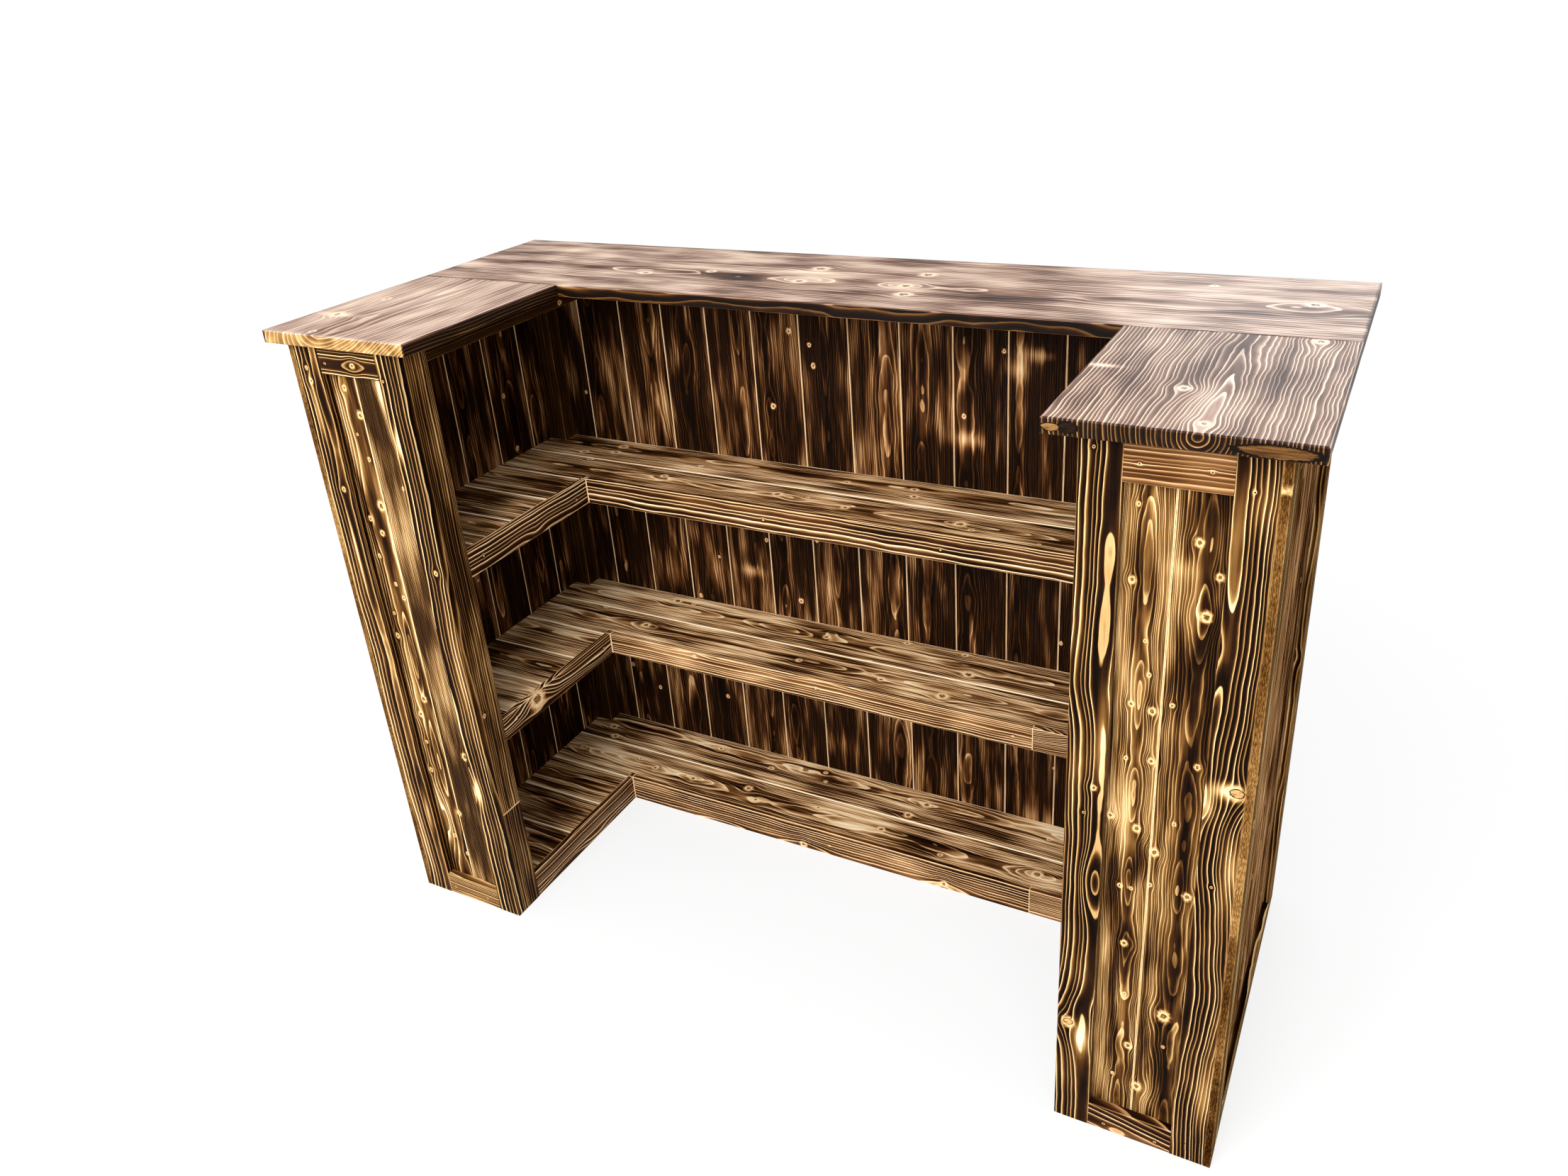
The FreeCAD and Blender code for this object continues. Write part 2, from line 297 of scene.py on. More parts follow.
def knot_field(board, look):
    """How far knots push the grain aside, and how far the nearest one is in its own sizes."""
    start = board.start
    far_away, fall_off, shorten = 9.0, math.exp(-0.16), 0.85
    bend, reach = 0.0, far_away

    def pull(distance):
        return start.node("Math", {0: fall_off, 1: distance * distance}, operation="POWER")

    for along, across, size in look.knots:
        offset = board.flat_spot.vector("MULTIPLY_ADD", (shorten / size, 1 / size, 0),
                                        (-shorten * along / size, -across / size, 0))
        distance = offset.vector("LENGTH", output=1)
        force = pull(distance)
        bend = offset.axis(1) * force * size + bend
        reach = distance.maths("MINIMUM", reach)
    if look.knot_chance:
        cell_step = 7.3
        cell_long, cell_wide = look.knot_cell
        smallest, largest = look.knot_size
        cells = start.node("CombineXYZ", {
            0: board.along / cell_long + board.own,
            1: board.side / cell_wide + board.number * cell_step + board.seed, 2: 0})
        centre = start.node("TexVoronoi", {"Vector": cells, "Scale": 1.0, "Randomness": 0.85},
                            output="Position", voronoi_dimensions="2D")
        offset = cells.vector("SUBTRACT", centre).vector("MULTIPLY", (cell_long * 0.8, cell_wide, 0))
        throw = start.node("TexWhiteNoise", {"Vector": centre}, noise_dimensions="2D")
        there = throw.maths("LESS_THAN", look.knot_chance)
        size = throw * ((largest - smallest) / look.knot_chance) + smallest
        distance = offset.vector("LENGTH", output=1) / size
        force = pull(distance) * there
        bend = offset.axis(1) * force + bend
        reach = (distance + (1 - there) * far_away).maths("MINIMUM", reach)
    return bend, reach


def ring_lines(board, look, bend):
    """The pale line of every growth ring: whole numbers of ring gaps round the tree's heart."""
    sway_side, sway_deep = look.sway
    aside = board.side - bend * 0.9 - board.heart_side + board.slow_side * sway_side
    aside = aside + board.quick_side * look.ripple
    if look.tilt:
        aside = aside + board.into * look.tilt
    if look.lean:
        aside = aside + (board.along - board.along_middle) * look.lean
    below = board.into + board.heart_depth + (board.slow_deep + board.quick_deep * 0.3) * sway_deep
    count = (aside * aside + below * below).maths("SQRT") / board.ring_gap
    for *spot, rings in look.figures:
        count = board.bell(*spot) * rings + count
    if look.wild:
        count = count + board.quick_side * look.wild
    uneven = board.start.node("TexNoise", {"W": count * 0.45 + board.draw.uniform(0, 50), "Scale": 1.0,
                                           "Detail": 0.0}, noise_dimensions="1D")
    count = count + uneven
    turn = count.maths("FRACT")
    strength = board.start.node("TexWhiteNoise", {"W": count.maths("FLOOR") + board.seed},
                                noise_dimensions="1D")
    width = turn + (board.slow_heat * 0.08 + board.quick_heat * 0.10 + look.bold)
    return turn.node("ValToRGB", {0: width}, stops=ring_profile) * (strength * 0.4 + 0.6)


def torch_burn(board, look, rim_side):
    """How deeply the torch burnt each place, before the rings show."""
    least_burn, edge_burn_width = 0.14, 4.5
    patches = board.slow_heat * (look.patch * 0.5) + board.cloud(*look.torch, 2.0) * (look.patch * 0.9)
    burn = patches + board.char
    if look.outside:
        burn = burn + board.into.between(0, 2 * board.half_thick) * look.outside
    for *spot, change in look.scorch:
        burn = board.bell(*spot) * change + burn
    rim_end = board.half_length - abs(board.along - board.along_middle)
    for rim, darker in zip((rim_side, rim_end), look.edge_burn):
        if darker:
            burn = burn + (1 - (rim + board.quick_heat * 1.5).between(0, edge_burn_width)) * darker
    return burn.within(least_burn, 1.0)


def saw_marks(board, look, heat):
    """The near edge as the saw left it: speckled brown without ring lines."""
    mark_length, mark_width = 6.0, 1.1
    spot = board.start.node("CombineXYZ", {0: board.along / mark_length, 1: board.place / mark_width,
                                           2: board.deep / mark_width})
    marks = board.start.node("TexNoise", {"Vector": spot, "Scale": 1.0, "Detail": 2.0})
    strip = 1 - (board.place - board.near_side).between(0.8, 2.5)
    sawn_heat = (marks - 0.5) * look.sawn + board.slow_heat * 0.28 + board.cloud(40, 40) * 0.12 + 0.62
    return heat.towards(sawn_heat, strip)


def saw_through_knots(board, look, heat, fibres):
    """Knots cut lengthwise by a saw, smooth and swirled with a burnt outline, and where they lie."""
    insides = []
    for centre, half_sizes, level in look.cut_knots:
        offset = board.spot.vector("SUBTRACT", tuple(one / mm_per_metre for one in centre))
        offset = offset.vector("MULTIPLY", tuple(mm_per_metre / one for one in half_sizes))
        drawn_out = offset.vector("MULTIPLY", (1.0, 4.0, 2.5))
        swirl = board.start.node("TexNoise", {"Vector": drawn_out, "Scale": 1.2, "Detail": 2.0})
        distance = offset.vector("LENGTH", output=1) + board.wobble * 0.3 + swirl * 0.3
        inside = 1 - distance.between(1.05, 1.15)
        outline = distance.between(0.88, 1.02) * 0.5
        heat = heat.towards(outline + (swirl - 0.5) * 0.55 + fibres * 0.05 + level, inside)
        insides.append(inside)
    return heat, insides


def brushed_corners(board, look, heat, rim_side):
    """The board's long corners and its joints, brushed pale."""
    brushed_heat = 0.16 if look.seam is None else 0.04
    rim_deep = board.half_thick - abs(board.deep - board.deep_middle)
    corner = board.start.node("CombineXYZ", {0: rim_side, 1: rim_deep}).vector("LENGTH", output=1)
    paleness = board.quick_side * 0.25 + look.edge
    arris = (1 - corner.between(look.edge_width * 0.4, look.edge_width)) * paleness
    for end in look.ends:
        arris = arris.maths("MAXIMUM", 1 - abs(board.along - end).between(0.7, 1.8))
    return heat.towards(brushed_heat, arris.within(0, 1)).within(0, 1)


def scorched_pine(node, grain, across, seed, look, **own):
    """Scorched pine for one node, with its growth rings as a solid round the tree's heart.

    grain and across are axis numbers, look is the look of its group and own is what differs.
    """
    look = SimpleNamespace(**{**plain_pine, **look, **own})
    material = bpy.data.materials.new(node + "_pine")
    material.use_nodes = True
    material.node_tree.nodes.clear()
    start = Shade(material.node_tree)
    board = Board(start, node, grain, across, seed, look)
    bend, reach = knot_field(board, look)
    pale_line = ring_lines(board, look, bend)
    rim_side = board.half_width - abs(board.side)
    burn = torch_burn(board, look, rim_side)
    fibres = board.cloud(60, 1.2, 1.0)
    shown = board.quick_heat * 0.12 + look.line
    if look.smother:
        shown = shown * (1 - burn.between(0.6, 1.0) * look.smother)
    heat = burn * (1 - pale_line * shown) + fibres * look.fibre
    if look.sawn:
        heat = saw_marks(board, look, heat)
    if look.knots or look.knot_chance:
        reach = reach + board.wobble
        glow = 1 - reach.between(0.55, 1.7)
        knot_heat = start.node("ValToRGB", {0: reach / knot_reach}, stops=knot_profile)
        heat = heat.towards(knot_heat + fibres * 0.05, glow)
    heat, cut_insides = saw_through_knots(board, look, heat, fibres)
    heat = brushed_corners(board, look, heat, rim_side)

    colour = heat.node("ValToRGB", {0: heat}, stops=look.colours)
    if look.colours is bloom_and_sky_sheen_char:
        # The grey bloom, partly painted sky reflection, lies on the upper face alone. The edges and the
        # knots cut in them stay honey.
        honey_share = board.into.between(0.5, 2.5)
        for inside in cut_insides:
            honey_share = honey_share.maths("MAXIMUM", inside)
        honey = heat.node("ValToRGB", {0: heat}, stops=honey_char)
        colour = start.node("Mix", {0: honey_share, 6: colour, 7: honey}, output=2, data_type="RGBA")
    relief = pale_line * 0.6 - heat * 0.4
    bump = start.node("Bump", {"Height": relief, "Strength": 0.4, "Distance": 0.0005})
    rough = heat * 0.16 + (fibres * 0.05 + look.gloss)
    skin = start.node("BsdfPrincipled", {"Base Color": colour, "Roughness": rough, "Normal": bump,
                                         "Specular IOR Level": look.shine})
    start.node("OutputMaterial", {"Surface": skin})
    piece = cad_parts[node]
    piece.data.materials.clear()
    piece.data.materials.append(material)


top_look = dict(colours=bloom_and_sky_sheen_char, smother=0.4, fibre=0.05, knot_chance=0, edge=0.3, gloss=0.32,
                shine=0.09)
scorched_pine("counter_long_board", x_axis, y_axis, 11, top_look, ring_gap=6, heart=(152, 40), sway=(8, 7),
              char=0.62, patch=0.56, line=0.72, bold=0.12, tilt=0.9, edge_burn=(0.5, 0.3),
              knots=((-350, 135, 9), (-245, 168, 7), (-72, 142, 10), (-75, 222, 12), (100, 152, 10),
                     (116, 106, 11), (107, 222, 11), (658, 180, 10), (520, 250, 5)),
              figures=((-350, 150, 110, 26, -1.6), (-72, 148, 46, 26, -2.2), (100, 150, 48, 28, -2.4),
                       (650, 175, 55, 28, -2.6), (210, 160, 70, 18, -0.8)),
              scorch=((-72, 148, 50, 20, -0.25), (100, 140, 50, 30, -0.3), (-200, 150, 60, 12, 0.25),
                      (15, 155, 30, 12, 0.25), (300, 100, 120, 30, 0.15), (-350, 150, 60, 14, -0.15)))
scorched_pine("counter_left_wing_board", y_axis, x_axis, 12, top_look, ring_gap=7, heart=(-604, 46),
              sway=(6, 4), char=0.54, patch=0.38, line=0.66, bold=0.16, tilt=0.9, edge_burn=(0.6, 0.12),
              knots=((-112, -672, 6), (-205, -680, 9), (-288, -640, 5)),
              figures=((-208, -680, 12, 45, -1.5),),
              scorch=((-205, -680, 9, 40, -0.3), (-60, -480, 90, 16, 0.2), (-306, -600, 7, 160, -0.3)))
scorched_pine("counter_right_wing_board", y_axis, x_axis, 13, top_look, ring_gap=5.0, heart=(608, -4),
              sway=(5, 1), ripple=2.2, wild=0.10, bold=0.30, char=0.77, patch=0.26, line=1.0,
              edge_burn=(0.2, 0.3), edge=0.7,
              knots=((-188, 568, 7), (20, 682, 8), (-288, 608, 6)),
              figures=((-240, 608, 46, 12, -1.0), (0, 608, 150, 22, 2.6), (-190, 566, 60, 26, 1.2)),
              scorch=((-134, 467, 6, 18, -0.6), (-100, 655, 120, 8, 0.2), (-240, 600, 70, 50, -0.15)),
              cut_knots=(((682, -316, 1039), (46, 9, 8), 0.66), ((478, -316, 1041), (12, 9, 7), 0.92),
                         ((460, -316, 1040), (12, 6, 5), 0.52)))


# Walls: machined pine boards that interlock with tongue and groove, nailed upright to the posts and
# bearers. They are finer grained than the trims and burnt in patches, with honey wood between the
# black.
# The char ramp again, a little greyer in the browns: painted shade colour, mostly for boards that sit in
# the bar's shade
shaded_char = (
    (0.00, ink(255, 243, 216)),
    (0.10, ink(246, 217, 173)),
    (0.25, ink(214, 173, 125)),
    (0.40, ink(170, 127, 83)),
    (0.55, ink(122, 83, 47)),
    (0.70, ink(77, 45, 20)),
    (0.85, ink(38, 19, 7)),
    (1.00, ink(12, 6, 3)),
)
board_cover = 91.0
wall_look = dict(cover=board_cover, sway=(3, 5), ripple=0.4, knot_size=(2.0, 4.5),
                 knot_cell=(120.0, board_cover), torch=(150, 16), smother=0.5, fibre=0.12, edge=1.0,
                 edge_width=1.7)
scorched_pine("right_end_boards", z_axis, x_axis, 31, wall_look, seam=585.0, heart=(-7, 20),
              heart_step=-29, ring_gap=2.5, gap_step=0.7, lean=0.012, char=0.75, patch=0.60, line=0.86,
              knot_chance=0,
              knots=((948, 546, 2.5), (857, 544, 4), (783, 562, 1.8), (740, 569, 2.4), (697, 551, 3.4),
                     (693, 575, 4.5), (621, 549, 2.4), (624, 578, 3.6), (522, 567, 4.6), (532, 535, 4),
                     (428, 551, 3), (428, 565, 2.4), (336, 561, 4.4), (250, 566, 2.4), (160, 575, 4.8),
                     (100, 557, 2.4), (913, 611, 4.4), (876, 635, 4), (826, 625, 6), (706, 597, 2.6),
                     (493, 590, 5), (630, 630, 3.6), (542, 610, 2.2), (441, 587, 2.8), (438, 632, 5),
                     (232, 617, 8), (178, 620, 2.2), (90, 590, 6)),
              figures=((900, 561, 52, 8, -1.6), (690, 560, 40, 8, -1.6), (560, 560, 45, 7, -1.2),
                       (440, 562, 35, 7, -1.4), (310, 561, 45, 7, -1.2), (935, 627, 50, 9, -1.8),
                       (820, 625, 50, 10, -2.2), (440, 620, 40, 8, -1.8), (130, 612, 60, 10, 1.8)),
              scorch=((880, 595, 14, 20, -0.25), (540, 540, 20, 12, -0.25), (960, 600, 30, 25, 0.2),
                      (760, 600, 60, 20, 0.16), (455, 560, 30, 25, 0.2), (300, 620, 40, 20, 0.14)))
scorched_pine("left_end_boards", z_axis, x_axis, 32, wall_look, seam=-594.0, heart=(118, 18),
              heart_step=90, ring_gap=2.6, gap_step=-3.8, bold=0.16, char=0.84, patch=0.50, line=1.0,
              knot_chance=0,
              knots=((962, -620, 4), (921, -600, 5.5), (889, -616, 2), (850, -604, 3), (773, -602, 7),
                     (747, -633, 4), (725, -614, 4.5), (682, -633, 3), (635, -612, 3), (612, -601, 3.5),
                     (578, -632, 2.4), (535, -637, 4.5), (418, -612, 6), (383, -628, 5), (326, -630, 3),
                     (266, -636, 4), (128, -617, 3.4), (185, -593, 5), (93, -596, 3.6), (317, -547, 6.5),
                     (810, -546, 2.4)),
              figures=((500, -612, 70, 9, -1.8), (300, -612, 80, 9, -1.6), (160, -625, 60, 10, 1.5)),
              scorch=((930, -568, 40, 22, 0.3), (830, -568, 40, 22, 0.18), (700, -568, 70, 20, -0.15),
                      (560, -568, 40, 22, 0.3), (480, -568, 60, 20, -0.12), (250, -570, 60, 22, 0.2),
                      (120, -570, 50, 22, 0.15), (965, -548, 40, 5, -0.9), (895, -541, 26, 6, -0.9),
                      (540, -619, 520, 17, -0.24)))
long_wall_look = dict(wall_look, heart=(0, 14), spread=(30, 26), ring_gap=2.6, uneven_boards=0.08,
                      torch=(150, 15), line=0.70, smother=0.6, fibre=0.16, colours=shaded_char)
# The inner face is burnt darker than the outer one: real char, deepened as painted shade under the counter
scorched_pine("back_wall_boards", z_axis, x_axis, 33, long_wall_look, seam=-593.0, char=0.95, patch=0.58,
              outside=-0.2, knot_chance=0.30,
              scorch=((800, -420, 90, 25, -0.2), (930, 280, 12, 26, -0.5), (905, 235, 16, 18, -0.35),
                      (780, 160, 14, 30, -0.4), (465, -270, 12, 22, -0.45), (800, -510, 120, 10, -0.25),
                      (820, 10, 100, 7, -0.35), (500, -110, 90, 8, -0.35), (440, -350, 80, 10, -0.3)))
for seed, wall, char, outside in ((34, "left_side_boards", 0.90, -0.2),
                                  (35, "right_side_boards", 0.74, 0.2)):
    scorched_pine(wall, z_axis, y_axis, seed, long_wall_look, seam=169.0, char=char, patch=0.5,
                  outside=outside, knot_chance=0.25, shine=0.0)


# Shelves: three tiers of the same interlocking boards laid flat on bearers, with the grain along the
# bar. The torch has burnt them unevenly.
shelf_look = dict(wall_look, seam=156.5, heart=(8, 14), spread=(14, 14), ring_gap=4.2, sway=(4, 6),
                  bold=0.12, knot_chance=0.16, char=0.60, patch=0.84, torch=(150, 11), line=1.0,
                  smother=0.4, fibre=0.09, edge_width=3.0, colours=shaded_char)
scorched_pine("upper_shelf_boards", x_axis, y_axis, 41, shelf_look, char=0.64,
              knots=((-512, 222, 8), (-510, 194, 7), (-570, 178, 7), (-535, 150, 5), (-358, 127, 6),
                     (-130, 123, 8), (-75, 127, 3), (0, 112, 6), (195, 115, 9), (78, 214, 6), (88, 188, 6),
                     (-320, 186, 4)),
              figures=((-320, 126, 70, 9, -1.6), (-130, 123, 45, 12, -2.2), (-25, 122, 50, 9, -1.8),
                       (240, 118, 80, 11, -2.2)))
scorched_pine("middle_shelf_boards", x_axis, y_axis, 42, shelf_look,
              knots=((-435, 224, 8), (-440, 122, 8), (-110, 116, 5), (50, 112, 5), (165, 103, 9),
                     (182, 180, 9), (-100, 205, 6), (45, 238, 5), (155, 236, 5)),
              figures=((-435, 122, 24, 10, -1.8), (-325, 121, 70, 9, -1.7), (-90, 121, 65, 9, -1.6),
                       (200, 121, 80, 10, -1.8), (-100, 226, 30, 8, -1.5)))
scorched_pine("bottom_shelf_boards", x_axis, y_axis, 43, shelf_look,
              knots=((-640, 115, 6), (-505, 127, 4), (-460, 112, 5), (-370, 112, 6), (-252, 127, 7),
                     (-100, 127, 4), (35, 116, 6), (330, 112, 9), (-242, 200, 5), (85, 212, 8),
                     (-625, 200, 7), (-602, 172, 7), (65, 172, 7), (-370, 218, 5), (-135, 228, 4)),
              figures=((-540, 120, 90, 13, -2.2), (-360, 118, 45, 12, -1.8), (50, 121, 110, 12, -2.2),
                       (330, 113, 40, 14, -2.6), (-130, 205, 110, 9, -1.6), (85, 212, 30, 10, -1.6)))


# End frames: planed pine trims pinned over the ends of both wings, wide-ringed and burnt almost
# black between cream growth lines. The rails butt between full-height stiles.
stile_look = dict(bold=0.12, ripple=1.3, smother=0.1, line=1.0, fibre=0.07, edge=0.35, knot_chance=0)
scorched_pine("right_end_inner_stile", z_axis, x_axis, 51, stile_look, ring_gap=5.2, sway=(3.0, 0.9),
              heart=(((0, 522), (130, 516), (182, 506), (240, 522), (330, 528), (430, 528), (520, 528),
                      (600, 526), (660, 526), (720, 514), (800, 520), (900, 522), (1031, 521)), 16),
              char=1.0, patch=0.34,
              knots=((182, 497, 8), (577, 516, 3.4), (1012, 499, 1.6), (537, 505, 1.6)),
              figures=((800, 521, 62, 14, -0.60), (893, 522, 28, 12, -0.52), (630, 524, 90, 10, -0.56),
                       (430, 520, 45, 17, -2.3), (170, 515, 45, 16, -0.8), (520, 521, 60, 8, -0.4)),
              scorch=((640, 522, 80, 7, -0.5), (160, 514, 30, 11, -0.9), (600, 495, 50, 14, -0.3),
                      (800, 488, 60, 10, -0.2)),
              cut_knots=(((497, -287, 183), (7, 9, 6), 0.30),))
scorched_pine("right_end_outer_stile", z_axis, x_axis, 52, stile_look, ring_gap=4.7, sway=(4, 1.0),
              heart=(((0, 640), (100, 636), (200, 640), (290, 654), (350, 640), (430, 640), (540, 626),
                      (610, 640), (720, 648), (860, 650), (1031, 648)), 9),
              char=1.02, patch=0.34,
              knots=((616, 676, 8), (983, 662, 1.6), (474, 660, 1.6)),
              figures=((800, 646, 55, 10, 1.2), (590, 646, 26, 10, -0.9), (616, 668, 30, 26, -1.2)),
              scorch=((930, 649, 70, 5, -0.4), (800, 652, 60, 5, -0.3), (616, 668, 12, 20, -0.9),
                      (590, 646, 22, 8, -0.7), (500, 678, 60, 12, -0.5), (960, 672, 40, 12, -0.25),
                      (130, 678, 70, 12, -0.5)),
              cut_knots=(((677, -287, 616), (9, 9, 7), 0.34),))
scorched_pine("left_end_outer_stile", z_axis, x_axis, 53, stile_look, ring_gap=7.0, sway=(3.5, 1.2),
              heart=(((0, -652), (150, -650), (300, -658), (500, -652), (650, -660), (800, -655),
                      (900, -652), (1031, -655)), 15),
              char=1.02, patch=0.32,
              knots=((992, -674, 3), (972, -671, 3.6), (798, -660, 4)),
              figures=((700, -662, 90, 7, -0.5), (950, -660, 40, 8, -0.5), (200, -655, 70, 8, -0.4)),
              scorch=((300, -684, 300, 12, -0.35), (760, -650, 120, 5, 0.2), (700, -666, 70, 4, -0.8),
                      (180, -655, 50, 5, -0.8), (930, -672, 60, 6, -0.6)))
scorched_pine("left_end_inner_stile", z_axis, x_axis, 54, stile_look, ring_gap=6.6, sway=(2.5, 0.9),
              heart=(((0, -534), (150, -536), (255, -540), (420, -545), (560, -552), (690, -540),
                      (800, -536), (1031, -534)), 20),
              char=0.99, patch=0.26,
              knots=((680, -503, 4), (886, -536, 3), (985, -522, 1.8), (255, -536, 7), (70, -540, 3)),
              figures=((255, -536, 45, 13, -1.6), (420, -540, 90, 12, 0.9), (960, -540, 40, 8, -0.6),
                       (885, -536, 24, 8, -0.6), (750, -538, 90, 6, -0.6)),
              scorch=((940, -538, 70, 5, -0.95), (885, -534, 26, 7, -1.0), (720, -540, 120, 4, -0.9),
                      (262, -520, 26, 7, -1.0), (500, -500, 110, 10, -0.3), (890, -520, 26, 4, -0.9),
                      (740, -518, 90, 6, 0.3)))
rail_look = dict(line=0.88, fibre=0.06, knot_chance=0, edge=0.45, sway=(1.2, 1.0), ripple=0.9)
scorched_pine("right_end_top_rail", x_axis, z_axis, 55, rail_look, ring_gap=4.2, heart=(972, 16),
              char=0.74, patch=0.3, line=0.7, colours=shaded_char,
              knots=((547, 999, 1.5), (620, 999, 1.5)), scorch=((600, 980, 60, 6, -0.2),))
scorched_pine("right_end_bottom_rail", x_axis, z_axis, 56, rail_look, ring_gap=9.0, heart=(4, 10),
              lean=0.16, char=0.96, patch=0.12, colours=shaded_char,
              knots=((552, 11, 1.6), (622, 11, 1.6)), figures=((570, 4, 14, 8, -0.9),),
              scorch=((570, 4, 18, 9, -0.55), (610, 6, 26, 8, -0.3)))
scorched_pine("left_end_top_rail", x_axis, z_axis, 57, rail_look, ring_gap=3.8, heart=(1002, 14),
              char=0.84, patch=0.14,
              knots=((-577, 1003, 4), (-633, 1002, 1.6)), figures=((-577, 1003, 16, 8, -1.4),))
scorched_pine("left_end_bottom_rail", x_axis, z_axis, 58, rail_look, ring_gap=3.6, heart=(-20, 12),
              lean=0.03, char=0.74, patch=0.16,
              knots=((-632, 15, 1.6), (-557, 14, 1.6)), scorch=((-595, 2, 60, 8, -0.3),))


# Side frames: the same pine trims pinned round the two side walls. Their near stiles lap the end
# frames and show a saw-rough edge at the wings' corners.
side_stile_look = dict(stile_look, patch=0.36, knot_chance=0.25, shine=0.0)
long_rail_look = dict(rail_look, sway=(4, 2), patch=0.3)
for number, side_name in enumerate(("left_side", "right_side")):
    scorched_pine(side_name + "_near_stile", z_axis, y_axis, 61 + number, side_stile_look, ring_gap=4.6,
                  heart=(-246, 14), sway=(4, 1.5), char=0.92, sawn=0.8)
    scorched_pine(side_name + "_far_stile", z_axis, y_axis, 63 + number, side_stile_look, ring_gap=4.2,
                  heart=(225, 18), sway=(5, 3), char=0.88)
    for first_seed, rail, heart_height in ((65, "_top_rail", 1000), (67, "_bottom_rail", 0)):
        scorched_pine(side_name + rail, y_axis, z_axis, first_seed + number, long_rail_look, ring_gap=4.4,
                      heart=(heart_height, 16), char=0.92, knot_chance=0.3, shine=0.0)


# Customer frame: four more pine trims, pinned round the long wall that the guests see. Its two rails
# butt between full-height stiles as well.
for seed, stile, heart_place in ((71, "customer_left_stile", -660), (72, "customer_right_stile", 670)):
    scorched_pine(stile, z_axis, x_axis, seed, stile_look, ring_gap=4.8, heart=(heart_place, 15),
                  sway=(4, 1.5), char=0.94, patch=0.36, knot_chance=0.25)
for seed, rail, heart_height in ((73, "customer_top_rail", 1010), (74, "customer_bottom_rail", 10)):
    scorched_pine(rail, x_axis, z_axis, seed, long_rail_look, ring_gap=4.6, heart=(heart_height, 14),
                  char=0.90, knot_chance=0.25, knot_cell=(260.0, 60.0))


# Return boards: pine trims nailed over the ends of the wings' inner sides, from the ground to the
# counter. The left one is in two lengths that butt in a pale burnt joint.
return_look = dict(ring_gap=4.4, sway=(3, 2), line=0.9, knot_chance=0.12, edge=0.5, smother=0.4)
return_joint = 213
scorched_pine("left_return_upper", z_axis, y_axis, 75, return_look, heart=(-285, 12), char=0.86,
              patch=0.36, ends=(return_joint,))
scorched_pine("left_return_lower", z_axis, y_axis, 76, return_look, ring_gap=4.2, heart=(-230, 16),
              char=0.86, patch=0.3, line=0.85, ends=(return_joint,))
scorched_pine("right_return_board", z_axis, y_axis, 77, return_look, heart=(-285, 12), char=0.96,
              patch=0.3)


# Shelf lips: narrow boldly lined pine trims, nailed over the shelves' cut front edges. A short
# length finishes the two lower long lips on the right.
lip_look = dict(bold=0.28, ripple=1.3, sway=(2.0, 1.4), line=1.0, fibre=0.06, knot_chance=0, edge=0.9,
                colours=shaded_char)
left_corner, offcut_joint, wing_corner = -486, 329.5, 69.5
scorched_pine("upper_long_lip", x_axis, z_axis, 81, lip_look, ring_gap=6.0, heart=(640, 18), lean=0.006,
              char=0.88, patch=0.34, ends=(left_corner,),
              knots=((-130, 671, 1.4), (180, 669, 1.4)))
scorched_pine("middle_long_lip", x_axis, z_axis, 82, lip_look, ring_gap=4.8, heart=(400, 12),
              char=0.72, patch=0.50, line=0.95, fibre=0.10, ends=(left_corner,),
              knots=((-300, 372, 2), (-55, 362, 1.6), (298, 358, 1.4)),
              figures=((-300, 384, 60, 9, 1.2), (-40, 384, 50, 9, 1.0)),
              scorch=((-230, 365, 60, 14, 0.15), (100, 350, 110, 14, -0.15)))
scorched_pine("bottom_long_lip", x_axis, z_axis, 83, lip_look, ring_gap=5.0, heart=(-8, 20),
              char=0.74, patch=0.50, line=0.95, fibre=0.10, ends=(left_corner,),
              knots=((-105, 7, 6), (175, 10, 6), (-50, 22, 1.4)),
              figures=((-105, 6, 50, 10, -1.5), (175, 9, 45, 10, -1.5), (-290, 4, 60, 8, -1.0)))
scorched_pine("middle_lip_offcut", x_axis, z_axis, 84, lip_look, ring_gap=3.6, heart=(400, 4),
              char=0.82, patch=0.12, ends=(offcut_joint,), figures=((330, 384, 50, 30, -4.0),))
scorched_pine("bottom_lip_offcut", x_axis, z_axis, 85, lip_look, ring_gap=3.2, heart=(-6, 12),
              char=0.70, patch=0.2, ends=(offcut_joint,))
scorched_pine("upper_left_lip", y_axis, z_axis, 86, lip_look, ring_gap=6.4, heart=(640, 16),
              char=0.92, patch=0.10, ends=(wing_corner,),
              knots=((-200, 672, 1.5), (38, 669, 1.5)), figures=((-75, 655, 22, 12, 0.7),))
scorched_pine("middle_left_lip", y_axis, z_axis, 87, lip_look, ring_gap=5.4, heart=(392, 14),
              char=0.92, patch=0.10, ends=(wing_corner,),
              knots=((-145, 368, 15), (-200, 363, 1.5), (47, 362, 1.5)),
              figures=((-140, 362, 48, 26, 3.4), (30, 350, 46, 10, -0.9)),
              scorch=((-145, 368, 12, 12, -0.6),))
scorched_pine("bottom_left_lip", y_axis, z_axis, 88, lip_look, ring_gap=4.4, heart=(-2, 16),
              char=0.84, patch=0.14, ends=(wing_corner,),
              figures=((-150, 8, 50, 7, -0.8), (-60, 8, 40, 7, 0.8)))
for seed, tier, heart_height in ((89, "upper", 640), (90, "middle", 392), (91, "bottom", 0)):
    scorched_pine(tier + "_right_lip", y_axis, z_axis, seed, lip_look, ring_gap=4.4,
                  heart=(heart_height, 15), sway=(5, 3), char=0.88, patch=0.16, ends=(wing_corner,))


